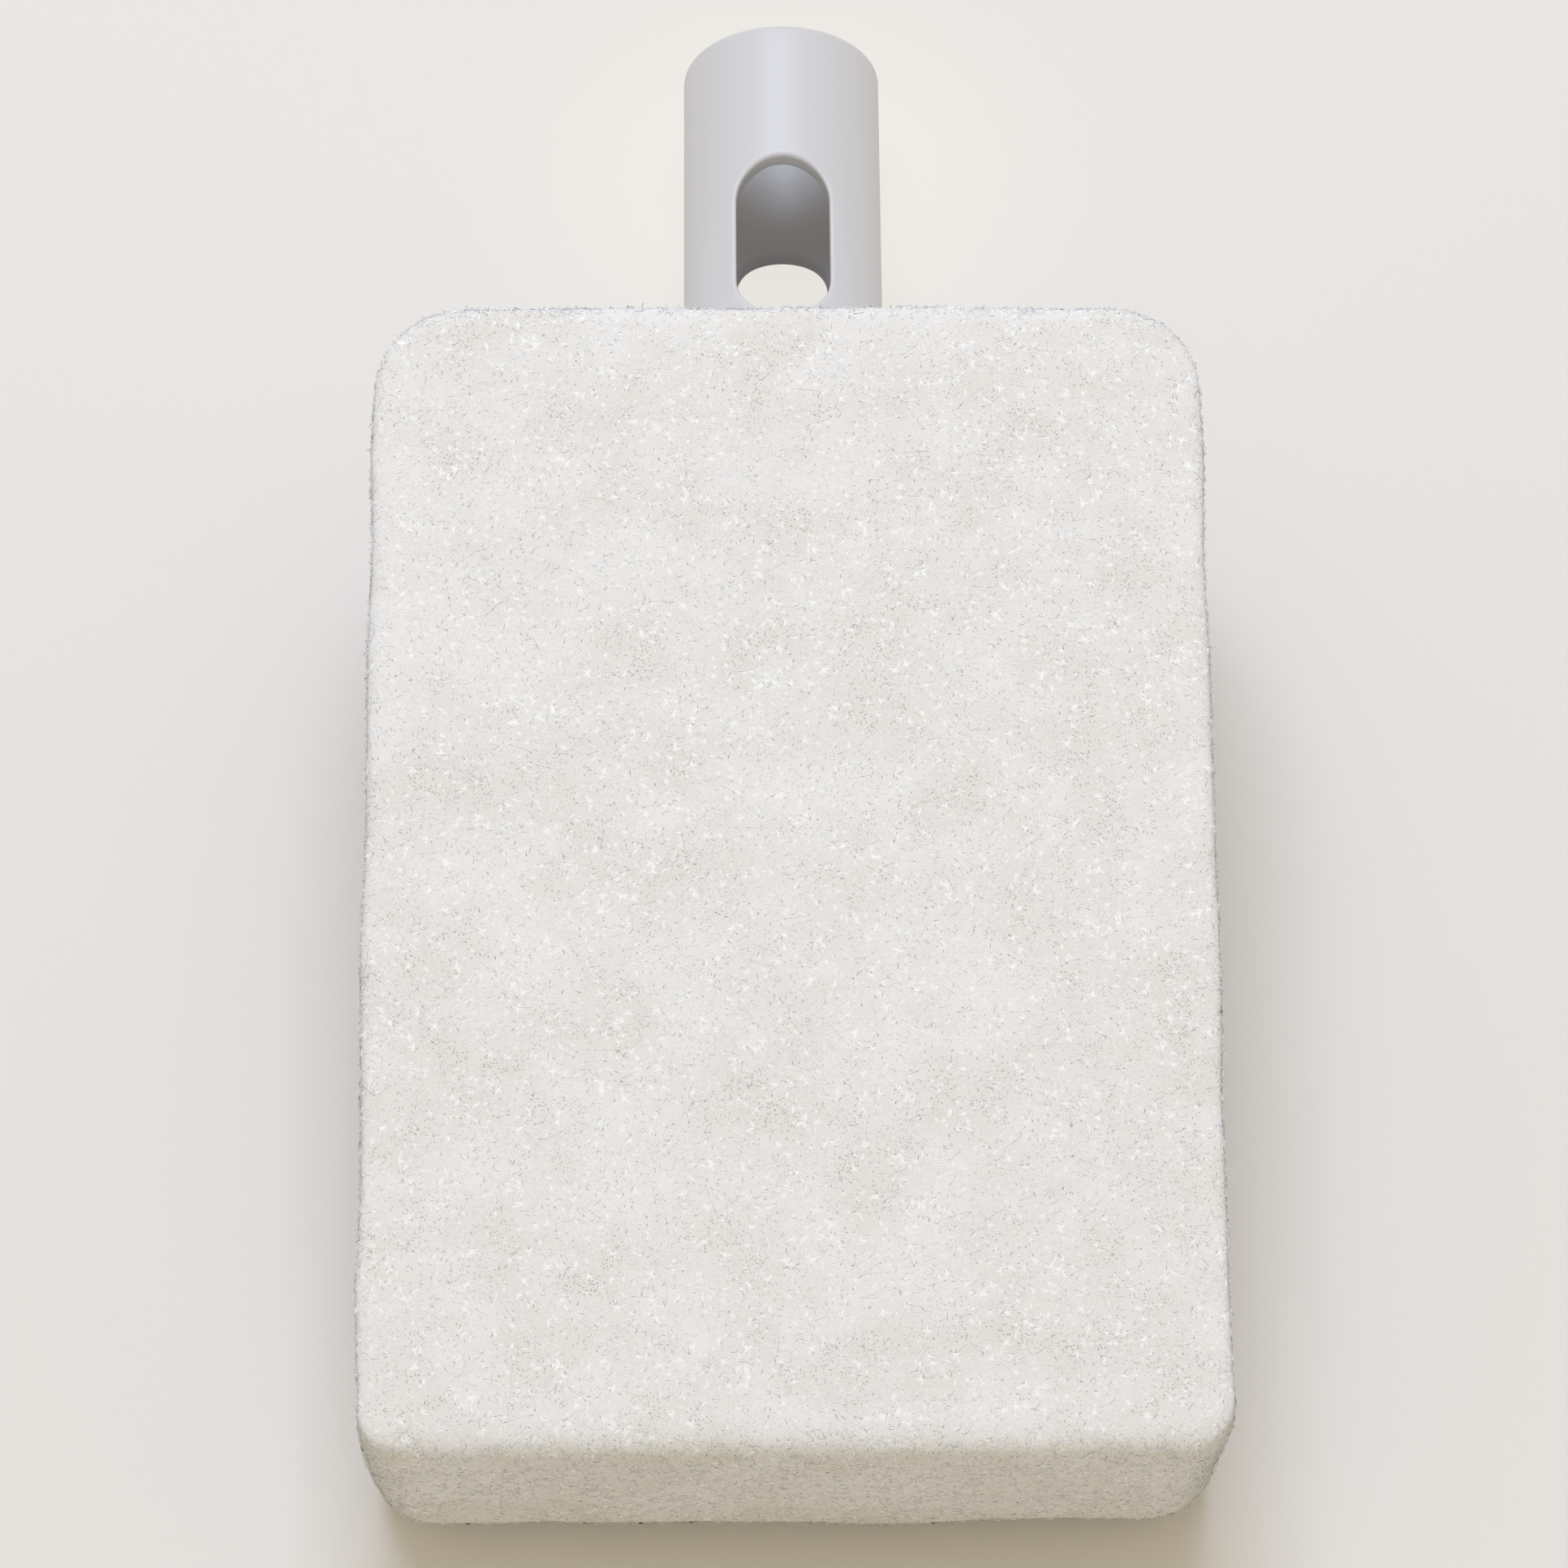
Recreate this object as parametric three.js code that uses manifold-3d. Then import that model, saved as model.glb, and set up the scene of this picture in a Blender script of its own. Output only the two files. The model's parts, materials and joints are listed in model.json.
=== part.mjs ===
// Bath sponge head for a pole, in millimetres with +Z up.
// A thick non-woven scrubbing pad is bonded to a moulded holder. The holder is one piece: a back plate,
// and a round socket whose closed end runs on under the plate as a keel. A stadium-shaped slot goes
// through both walls of the socket. The head lies on its back, with the socket level along +Y on the
// surface and the front edge of the plate touching it, so the working face of the pad slopes.
// The origin is on that surface, under the middle of the head.
import * as THREE from "three";
import { mergeVertices } from "three/addons/utils/BufferGeometryUtils.js";
import Module from "manifold-3d";

const PAD_WIDTH = 93.5;
const PAD_LENGTH = 134;
const PAD_THICKNESS = 32.5;
const PAD_CORNER = 9; // plan radius of the four upright corners
const PAD_FACE_ROUND = 3.2; // rounding between the working face and the sides
const PAD_BACK_ROUND = 2.5; // rounding between the back and the sides

const PLATE_INSET = 4; // how far the plate's outline lies inside the pad's
const PLATE_THICKNESS = 3.5;
const PLATE_CORNER = 6;
const PLATE_EDGE = 1; // rounding of the plate's edges
const BOND_GAP = 0.3; // film of adhesive between the plate and the pad

const SOCKET_DIAMETER = 24;
const SOCKET_WALL = 2.3;
const SOCKET_REACH = 55.5; // from the pad's far edge to the mouth
const SOCKET_DEPTH = 50; // from the mouth to the closed end of the bore
const RIM_ROUND = 0.8; // rounding of the mouth's inner and outer edges
const BORE_END_ROUND = 1.5; // rounding at the closed end of the bore
const HEAD_SLOPE = 8.5; // degrees between the pad and the socket's axis
const NOSE_SETBACK = 30; // from the plate's front edge to the keel's tip
const PAD_CLEARANCE = 0.5; // between the pad's far side and the top of the socket

const SLOT_WIDTH = 11.2;
const SLOT_LENGTH = 22.4; // end to end
const SLOT_FROM_MOUTH = 19.4; // from the mouth to the slot's nearer end

const CORNER_STEPS = 8;
const EDGE_STEPS = 6;
const ARC_DIVISIONS = 3; // each arc of the socket's profile gets twice as many steps
const ROUND_STEPS = 64;
const CUT_MARGIN = 5; // how far each cutting shape runs past what it cuts

const PAD_MATERIAL = new THREE.MeshStandardMaterial({ color: "#e9e8e5", roughness: 0.95, metalness: 0 });
const HOLDER_MATERIAL = new THREE.MeshStandardMaterial({ color: "#cfcfd3", roughness: 0.45, metalness: 0 });

const slope = THREE.MathUtils.degToRad(HEAD_SLOPE);
const socketRadius = SOCKET_DIAMETER / 2;
const boreRadius = socketRadius - SOCKET_WALL;
const plateWidth = PAD_WIDTH - 2 * PLATE_INSET;
const plateLength = PAD_LENGTH - 2 * PLATE_INSET;
const padBack = PLATE_THICKNESS + BOND_GAP;

// The plate's rounded front edge would hang this far over the surface if its sharp edge lay on it.
const edgeLift = PLATE_EDGE * (Math.sin(slope) + Math.cos(slope) - 1);

// The sloping frame has its origin at the plate's front lower edge, +Y up the slope and +Z along the
// normal of the working face.
const sloping = new THREE.Matrix4()
  .makeTranslation(0, 0, -edgeLift)
  .multiply(new THREE.Matrix4().makeRotationX(slope));

// The lowest point of the pad's far side, from which the socket's reach is measured.
const padFarEdge = new THREE.Vector3(0, PAD_LENGTH - PLATE_INSET, padBack).applyMatrix4(sloping).y;
const mouthAt = padFarEdge + SOCKET_REACH;

const wasm = await Module();
wasm.setup();

function solidOf(geometry) {
  const bare = geometry.clone();
  bare.deleteAttribute("normal");
  bare.deleteAttribute("uv");
  const merged = mergeVertices(bare, 1e-4);
  return new wasm.Manifold(
    new wasm.Mesh({
      numProp: 3,
      vertProperties: merged.attributes.position.array,
      triVerts: new Uint32Array(merged.index.array),
    }),
  );
}

function geometryOf(solid) {
  const { vertProperties, triVerts } = solid.getMesh();
  const geometry = new THREE.BufferGeometry();
  geometry.setAttribute("position", new THREE.BufferAttribute(vertProperties, 3));
  geometry.setIndex(new THREE.BufferAttribute(triVerts, 1));
  geometry.computeVertexNormals();
  return geometry;
}

// The points of a rectangle with round corners, centred on the origin, anticlockwise from above.
function roundedOutline(width, length, corner) {
  const radius = Math.min(corner, width / 2, length / 2);
  const middles = [
    [width / 2 - radius, length / 2 - radius],
    [radius - width / 2, length / 2 - radius],
    [radius - width / 2, radius - length / 2],
    [width / 2 - radius, radius - length / 2],
  ];
  return middles.flatMap(([x, y], quarter) =>
    Array.from({ length: CORNER_STEPS + 1 }, (_, i) => {
      const angle = (quarter + i / CORNER_STEPS) * (Math.PI / 2);
      return new THREE.Vector2(x + radius * Math.cos(angle), y + radius * Math.sin(angle));
    }),
  );
}

// The section through an edge of a slab: how far each level lies inside the outline, and its height.
function slabLevels(thickness, lowerRound, upperRound) {
  const levels = [];
  for (let i = 0; i <= EDGE_STEPS; i++) {
    const angle = (i / EDGE_STEPS) * (Math.PI / 2);
    levels.push({ inset: lowerRound * (1 - Math.sin(angle)), height: lowerRound * (1 - Math.cos(angle)) });
  }
  for (let i = 0; i <= EDGE_STEPS; i++) {
    const angle = (i / EDGE_STEPS) * (Math.PI / 2);
    levels.push({
      inset: upperRound * (1 - Math.cos(angle)),
      height: thickness - upperRound * (1 - Math.sin(angle)),
    });
  }
  return levels;
}

// A slab with round corners and its own rounding at its lower and upper edges, standing on z = 0.
function roundedSlab(width, length, corner, thickness, lowerRound, upperRound) {
  const levels = slabLevels(thickness, lowerRound, upperRound);
  const rings = levels.map(({ inset, height }) =>
    roundedOutline(width - 2 * inset, length - 2 * inset, Math.max(corner - inset, corner / 4)).map(
      (point) => [point.x, point.y, height],
    ),
  );
  const around = rings[0].length;
  const points = [...rings.flat(), [0, 0, 0], [0, 0, thickness]];
  const lowerMiddle = points.length - 2;
  const upperMiddle = points.length - 1;
  const upperRing = (rings.length - 1) * around;
  const triangles = [];
  for (let i = 0; i < around; i++) {
    const next = (i + 1) % around;
    triangles.push(lowerMiddle, next, i);
    triangles.push(upperMiddle, upperRing + i, upperRing + next);
    for (let level = 0; level < rings.length - 1; level++) {
      const low = level * around;
      const high = low + around;
      triangles.push(low + i, low + next, high + next);
      triangles.push(low + i, high + next, high + i);
    }
  }
  const geometry = new THREE.BufferGeometry();
  geometry.setAttribute("position", new THREE.Float32BufferAttribute(points.flat(), 3));
  geometry.setIndex(triangles);
  return geometry;
}

function makePad() {
  const pad = roundedSlab(
    PAD_WIDTH, PAD_LENGTH, PAD_CORNER, PAD_THICKNESS, PAD_BACK_ROUND, PAD_FACE_ROUND,
  );
  pad.translate(0, PAD_LENGTH / 2 - PLATE_INSET, padBack);
  pad.applyMatrix4(sloping);
  pad.computeVertexNormals();
  return pad;
}

function makePlate() {
  const plate = roundedSlab(
    plateWidth, plateLength, PLATE_CORNER, PLATE_THICKNESS, PLATE_EDGE, PLATE_EDGE,
  );
  plate.translate(0, plateLength / 2, 0);
  return plate.applyMatrix4(sloping);
}

// The socket as one turned form: the keel's round nose, the outside, the rounded rim and the bore.
function makeSocketTube() {
  const rim = Math.min(RIM_ROUND, SOCKET_WALL / 2);
  const boreEnd = mouthAt - SOCKET_DEPTH;
  const profile = new THREE.Path();
  profile.moveTo(0, NOSE_SETBACK);
  profile.absarc(0, NOSE_SETBACK + socketRadius, socketRadius, -Math.PI / 2, 0, false);
  profile.lineTo(socketRadius, mouthAt - rim);
  profile.absarc(socketRadius - rim, mouthAt - rim, rim, 0, Math.PI / 2, false);
  profile.lineTo(boreRadius + rim, mouthAt);
  profile.absarc(boreRadius + rim, mouthAt - rim, rim, Math.PI / 2, Math.PI, false);
  profile.lineTo(boreRadius, boreEnd + BORE_END_ROUND);
  profile.absarc(boreRadius - BORE_END_ROUND, boreEnd + BORE_END_ROUND, BORE_END_ROUND, 0, -Math.PI / 2, true);
  profile.lineTo(0, boreEnd);
  const tube = new THREE.LatheGeometry(profile.getPoints(ARC_DIVISIONS), ROUND_STEPS);
  tube.rotateY(Math.PI / ROUND_STEPS); // a flat between two facet edges faces down
  return tube.translate(0, 0, socketRadius);
}

// The space of the pad and everything above it, on the sloping frame. The keel keeps out of it.
function makePadSpace() {
  const width = PAD_WIDTH + 2 * CUT_MARGIN;
  const length = PAD_LENGTH + CUT_MARGIN + PAD_CLEARANCE;
  const height = PAD_THICKNESS + SOCKET_DIAMETER;
  const space = new THREE.BoxGeometry(width, length, height);
  space.translate(0, length / 2 - PLATE_INSET - CUT_MARGIN, height / 2 + PLATE_THICKNESS);
  return space.applyMatrix4(sloping);
}

// The stadium-shaped slot, cut straight down through both walls.
function makeSlot() {
  const end = SLOT_WIDTH / 2;
  const outline = new THREE.Shape();
  outline.absarc(0, SLOT_LENGTH / 2 - end, end, 0, Math.PI, false);
  outline.absarc(0, end - SLOT_LENGTH / 2, end, Math.PI, 2 * Math.PI, false);
  const slot = new THREE.ExtrudeGeometry(outline, {
    depth: SOCKET_DIAMETER + 2 * CUT_MARGIN,
    curveSegments: CORNER_STEPS,
    bevelEnabled: false,
  });
  return slot.translate(0, mouthAt - SLOT_FROM_MOUTH - SLOT_LENGTH / 2, -CUT_MARGIN);
}

function makeHolder() {
  return geometryOf(
    solidOf(makeSocketTube())
      .add(solidOf(makePlate()))
      .subtract(solidOf(makePadSpace()))
      .subtract(solidOf(makeSlot())),
  );
}

const head = new THREE.Group();

const pad = new THREE.Mesh(makePad(), PAD_MATERIAL);
pad.name = "scrub_pad";
head.add(pad);

const holder = new THREE.Mesh(makeHolder(), HOLDER_MATERIAL);
holder.name = "socket_holder";
head.add(holder);

// The origin goes under the middle of the head, on the surface that it lies on.
const box = new THREE.Box3().setFromObject(head, true);
head.position.set(-(box.min.x + box.max.x) / 2, -(box.min.y + box.max.y) / 2, -box.min.z);

const part = new THREE.Group();
part.add(head);

export default part;
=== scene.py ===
import json
import math

import bmesh
import bpy
import numpy as np
from mathutils import Matrix, Vector
from mathutils.geometry import delaunay_2d_cdt

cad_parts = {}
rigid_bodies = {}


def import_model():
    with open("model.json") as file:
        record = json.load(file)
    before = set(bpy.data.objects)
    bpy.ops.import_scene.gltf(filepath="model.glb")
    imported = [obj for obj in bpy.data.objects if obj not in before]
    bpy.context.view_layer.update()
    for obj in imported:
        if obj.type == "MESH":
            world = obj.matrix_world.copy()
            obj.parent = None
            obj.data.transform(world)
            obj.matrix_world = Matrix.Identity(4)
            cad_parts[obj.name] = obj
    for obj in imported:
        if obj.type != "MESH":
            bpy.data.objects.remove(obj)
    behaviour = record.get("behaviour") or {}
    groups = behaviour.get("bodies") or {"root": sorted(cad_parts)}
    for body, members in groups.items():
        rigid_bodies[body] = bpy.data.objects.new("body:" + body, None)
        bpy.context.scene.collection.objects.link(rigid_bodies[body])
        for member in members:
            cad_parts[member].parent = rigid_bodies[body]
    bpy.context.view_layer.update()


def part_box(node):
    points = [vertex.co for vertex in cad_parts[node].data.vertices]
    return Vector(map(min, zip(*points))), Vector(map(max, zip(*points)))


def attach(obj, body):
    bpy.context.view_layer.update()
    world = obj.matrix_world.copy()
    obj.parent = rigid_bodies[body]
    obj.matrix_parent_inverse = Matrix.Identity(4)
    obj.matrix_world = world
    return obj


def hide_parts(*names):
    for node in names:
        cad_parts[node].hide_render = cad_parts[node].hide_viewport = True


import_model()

# The view: the head lies on a table and is seen from high above its short front side, a little to the
# left, through a long lens. Lens and place were fitted to the outline of the pad and the socket.
MM = 0.001
IMAGE_PIXELS = 1932
LENS_PIXELS = 7348
SENSOR_WIDTH = 36.0
CAMERA_PLACE = Vector((-4.93, -337.46, 616.17)) * MM
CAMERA_TILT = 28.95
CAMERA_YAW = -0.378
CAMERA_ROLL = -0.281

camera_data = bpy.data.cameras.new("camera")
camera_data.sensor_width = SENSOR_WIDTH
camera_data.lens = SENSOR_WIDTH * LENS_PIXELS / IMAGE_PIXELS
camera_data.clip_start = 0.01
camera = bpy.data.objects.new("camera", camera_data)
turn = (
    Matrix.Rotation(math.radians(CAMERA_TILT), 4, "X")
    @ Matrix.Rotation(math.radians(CAMERA_YAW), 4, "Y")
    @ Matrix.Rotation(math.radians(CAMERA_ROLL), 4, "Z")
)
camera.matrix_world = Matrix.Translation(CAMERA_PLACE) @ turn
bpy.context.collection.objects.link(camera)
bpy.context.scene.camera = camera
bpy.context.scene.view_settings.view_transform = "Standard"

# The table: a smooth cream board. Its warm colour shows most in the shadow under the pad. Round the socket
# the board carries painted light:
# for camera rays an emission lights it as brightly as in the open, which fills the socket's shadow and
# lights the table seen through the slots.
FLOOR_SIZE = 3.0
FLOOR_COLOUR = "#eae7e3"
# painted light: a patch round the socket that the camera sees lit by emission, laid over the socket's shadow
PAINTED_GLOW_COLOUR = "#f0ede7"
PAINTED_GLOW_PLACE = (0.0, -0.088, 0.0)
PAINTED_GLOW_REACH = 0.046
PAINTED_GLOW_SHARE = 0.9


def linear(hex_colour):
    """An sRGB hex colour as the linear RGBA that a shader takes."""
    channels = [int(hex_colour[i : i + 2], 16) / 255 for i in (1, 3, 5)]
    return [c / 12.92 if c <= 0.04045 else ((c + 0.055) / 1.055) ** 2.4 for c in channels] + [1.0]


def add_node(tree, kind, inputs=None, **settings):
    """Adds a node with its settings. An input is a value, or the output socket that it is linked to."""
    made = tree.nodes.new(kind)
    for name, value in settings.items():
        setattr(made, name, value)
    for name, value in (inputs or {}).items():
        if isinstance(value, bpy.types.NodeSocket):
            tree.links.new(value, made.inputs[name])
        else:
            made.inputs[name].default_value = value
    return made


def new_material(name):
    """An empty node material and its tree."""
    made = bpy.data.materials.new(name)
    made.use_nodes = True
    made.node_tree.nodes.clear()
    return made, made.node_tree


def put_in_scene(name, mesh):
    """A new object at the origin with the mesh."""
    made = bpy.data.objects.new(name, mesh)
    bpy.context.collection.objects.link(made)
    return made


floor_mesh = bpy.data.meshes.new("table_top")
half = FLOOR_SIZE / 2
corners = [(-half, -half, 0), (half, -half, 0), (half, half, 0), (-half, half, 0)]
floor_mesh.from_pydata(corners, [], [(0, 1, 2, 3)])
floor = put_in_scene("table_top", floor_mesh)
painted_board, tree = new_material("painted_board")
place = add_node(tree, "ShaderNodeTexCoord")
from_socket = add_node(tree, "ShaderNodeVectorMath", {
    0: place.outputs["Object"], 1: PAINTED_GLOW_PLACE,
}, operation="ADD")
distance = add_node(tree, "ShaderNodeVectorMath", {0: from_socket.outputs[0]}, operation="LENGTH")
# Painted light: near the socket, camera rays see an emission mixed into the board, which hides the socket's
# shadow.
painted_glow_mask = add_node(tree, "ShaderNodeMapRange", {
    "Value": distance.outputs["Value"], "From Min": PAINTED_GLOW_REACH, "From Max": PAINTED_GLOW_REACH / 3,
    "To Max": PAINTED_GLOW_SHARE,
}, interpolation_type="SMOOTHSTEP")
rays = add_node(tree, "ShaderNodeLightPath")
share = add_node(tree, "ShaderNodeMath", {
    0: painted_glow_mask.outputs[0], 1: rays.outputs["Is Camera Ray"],
}, operation="MULTIPLY")
board = add_node(tree, "ShaderNodeBsdfPrincipled", {
    "Base Color": linear(FLOOR_COLOUR), "Roughness": 0.8, "Specular IOR Level": 0.2,
})
painted_light_emission = add_node(tree, "ShaderNodeEmission", {"Color": linear(PAINTED_GLOW_COLOUR), "Strength": 1.0})
shown = add_node(tree, "ShaderNodeMixShader", {0: share.outputs[0], 1: board.outputs[0], 2: painted_light_emission.outputs[0]})
add_node(tree, "ShaderNodeOutputMaterial", {"Surface": shown.outputs[0]})
floor_mesh.materials.append(painted_board)

# The light: a broad soft source high behind the socket, slightly cool, in a room that fills the shadows
# with warmer light. Together they light a level surface at about one.
ROOM_COLOUR = "#fff3d9"
ROOM_STRENGTH = 0.60
LAMP_POWER = 22.4
LAMP_WIDTH = 1.0
LAMP_DEPTH = 1.2
LAMP_PLACE = Vector((-0.1, 0.7, 1.7))
LAMP_COLOUR = (0.69, 0.79, 1.0)

room = bpy.data.worlds.new("room")
room.use_nodes = True
room_tree = room.node_tree
room_tree.nodes.clear()
background = add_node(room_tree, "ShaderNodeBackground", {
    "Color": linear(ROOM_COLOUR), "Strength": ROOM_STRENGTH,
})
add_node(room_tree, "ShaderNodeOutputWorld", {"Surface": background.outputs[0]})
bpy.context.scene.world = room

lamp_data = bpy.data.lights.new("soft_box", "AREA")
lamp_data.energy = LAMP_POWER
lamp_data.shape = "RECTANGLE"
lamp_data.size = LAMP_WIDTH
lamp_data.size_y = LAMP_DEPTH
lamp_data.color = LAMP_COLOUR
lamp = bpy.data.objects.new("soft_box", lamp_data)
lamp.location = LAMP_PLACE
lamp.rotation_euler = (-LAMP_PLACE).to_track_quat("-Z", "Y").to_euler()
bpy.context.collection.objects.link(lamp)


# The holder: one moulding in light grey polypropylene. A back plate carries the pad, and a round socket
# for the pole runs on under the plate as a keel. A slot with softly rounded edges goes through both walls.
HEAD_SLOPE = math.radians(8.5)
SOCKET_RADIUS = 12.0
SOCKET_WALL = 2.3
RIM_ROUND = 0.8
BORE_DEPTH = 50.0
BORE_END_ROUND = 1.5
SLOT_HALF_WIDTH = 5.6
SLOT_LENGTH = 22.4
SLOT_FROM_MOUTH = 19.4
SLOT_EDGE_ROUND = 0.6
SLOT_INNER_ROUND = 0.35
NOSE_SETBACK = 30.0
PLATE_INSET = 4.0
PLATE_THICKNESS = 3.5
PLATE_CORNER = 6.0
PLATE_EDGE = 1.0
BOND_GAP = 0.3
PAD_LENGTH = 134.0
PAD_THICKNESS = 32.5
PAD_CLEARANCE = 0.5
AROUND = 128  # steps round the socket
SLOT_ZONE = 2.5  # the wall with the slots reaches this far past their ends
SLOT_CLEARANCE = 0.22  # no other point of the wall lies nearer to a slot than this
SLOT_DEPTH_LEFT_OUT = 0.02  # a triangle whose middle lies deeper in a slot than this is left out

pad_low, pad_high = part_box("scrub_pad")
holder_low, holder_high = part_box("socket_holder")
mouth_at = holder_high[1] / MM
plate_width = (holder_high[0] - holder_low[0]) / MM
plate_length = PAD_LENGTH - 2 * PLATE_INSET
pad_width = (pad_high[0] - pad_low[0]) / MM
bore_radius = SOCKET_RADIUS - SOCKET_WALL

# The sloping frame of the plate and the pad: its origin is the plate's front lower edge on the table.
edge_lift = PLATE_EDGE * (math.sin(HEAD_SLOPE) + math.cos(HEAD_SLOPE) - 1)
upper_round_at = PLATE_EDGE * math.cos(HEAD_SLOPE) - (PLATE_THICKNESS - PLATE_EDGE) * math.sin(HEAD_SLOPE)
plate_front = holder_low[1] / MM - (upper_round_at - PLATE_EDGE)
sloping = Matrix.Translation((0, plate_front, -edge_lift)) @ Matrix.Rotation(HEAD_SLOPE, 4, "X")
to_metres = Matrix.Scale(MM, 4)


def slot_outline(offset):
    """The slot's outline seen from above, grown by offset, as an array of x and y in mm."""
    radius = SLOT_HALF_WIDTH + offset
    middle = mouth_at - SLOT_FROM_MOUTH - SLOT_LENGTH / 2
    reach = SLOT_LENGTH / 2 - SLOT_HALF_WIDTH
    straight = np.linspace(-reach, reach, 18)[1:-1]
    upper = np.linspace(0, math.pi, 28)
    lower = upper + math.pi
    points = [(radius * math.cos(a), middle + reach + radius * math.sin(a)) for a in upper]
    points += [(-radius, middle - y) for y in straight]
    points += [(radius * math.cos(a), middle - reach + radius * math.sin(a)) for a in lower]
    points += [(radius, middle + y) for y in straight]
    return np.array(points)


def slot_lining(side):
    """Rows of points from the outside of the tube through one slot to its inside; side is 1 or -1."""
    rows = []
    for a in np.linspace(0, math.pi / 2, 6):
        plan = slot_outline(SLOT_EDGE_ROUND * (1 - math.sin(a)))
        height = np.sqrt(SOCKET_RADIUS**2 - plan[:, 0] ** 2) - SLOT_EDGE_ROUND * (1 - math.cos(a))
        rows.append(np.column_stack([plan, side * height]))
    for a in np.linspace(math.pi / 2, 0, 4):
        plan = slot_outline(SLOT_INNER_ROUND * (1 - math.sin(a)))
        height = np.sqrt(bore_radius**2 - plan[:, 0] ** 2) + SLOT_INNER_ROUND * (1 - math.cos(a))
        rows.append(np.column_stack([plan, side * height]))
    return rows


def slotted_wall(radius, offset, start, end):
    """The stretch of round wall that holds both slots, as points and triangles, cut round the slots."""
    plan = slot_outline(offset)
    turned = np.arcsin(plan[:, 0] / radius)
    columns = np.arange(AROUND + 1) * (2 * math.pi / AROUND)
    rows = np.linspace(start, end, 36)
    points, edges = [], []
    for middle in (math.pi / 2, 3 * math.pi / 2):
        first = len(points)
        points += [(middle - t, y / radius) for t, y in zip(turned, plan[:, 1])]
        count = len(plan)
        edges += [(first + i, first + (i + 1) % count) for i in range(count)]
    half_reach = SLOT_LENGTH / 2 - SLOT_HALF_WIDTH
    centre = mouth_at - SLOT_FROM_MOUTH - SLOT_LENGTH / 2

    def in_slot(angle, y, grown):
        nearest = min(abs(angle - math.pi / 2), abs(angle - 3 * math.pi / 2))
        across = radius * math.sin(min(nearest, math.pi / 2))
        along = max(abs(y - centre) - half_reach, 0)
        return math.hypot(across, along) < SLOT_HALF_WIDTH + offset + grown

    for angle in columns:
        for y in rows:
            if y in (start, end) or not in_slot(angle, y, SLOT_CLEARANCE):
                points.append((angle, y / radius))
    flat, _, faces, _, _, _ = delaunay_2d_cdt([Vector(p) for p in points], edges, [], 0, 1e-7)
    kept = []
    for face in faces:
        angle = sum(flat[i].x for i in face) / 3
        y = sum(flat[i].y for i in face) / 3 * radius
        if not in_slot(angle, y, -SLOT_DEPTH_LEFT_OUT):
            kept.append(face)
    solid = [(radius * math.cos(p.x), p.y * radius, radius * math.sin(p.x)) for p in flat]
    return solid, kept


def turned_wall(profile):
    """A wall turned about the socket's axis from a profile of (radius, y) points."""
    points, faces = [], []
    for radius, y in profile:
        for i in range(AROUND):
            angle = 2 * math.pi * i / AROUND
            points.append((radius * math.cos(angle), y, radius * math.sin(angle)))
    for level in range(len(profile) - 1):
        for i in range(AROUND):
            j = (i + 1) % AROUND
            low, high = level * AROUND, (level + 1) * AROUND
            faces.append((low + i, high + i, high + j, low + j))
    return points, faces


def arc(middle, radius, first, last, steps):
    """Points of an arc in a (radius, y) profile, from one angle to the other in degrees."""
    angles = np.radians(np.linspace(first, last, steps))
    return [(middle[0] + radius * math.cos(a), middle[1] + radius * math.sin(a)) for a in angles]


def clean_mesh(name, parts, merge=0.01):
    """One mesh in mm from (points, faces) pairs, with doubles merged and faces turned outwards."""
    points, faces = [], []
    for part_points, part_faces in parts:
        start = len(points)
        points += [tuple(p) for p in part_points]
        faces += [tuple(start + i for i in face) for face in part_faces]
    mesh = bpy.data.meshes.new(name)
    mesh.from_pydata(points, [], faces)
    work = bmesh.new()
    work.from_mesh(mesh)
    bmesh.ops.remove_doubles(work, verts=work.verts, dist=merge)
    bmesh.ops.dissolve_degenerate(work, dist=merge / 10, edges=work.edges)
    bmesh.ops.recalc_face_normals(work, faces=work.faces)
    work.to_mesh(mesh)
    work.free()
    return mesh


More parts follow.
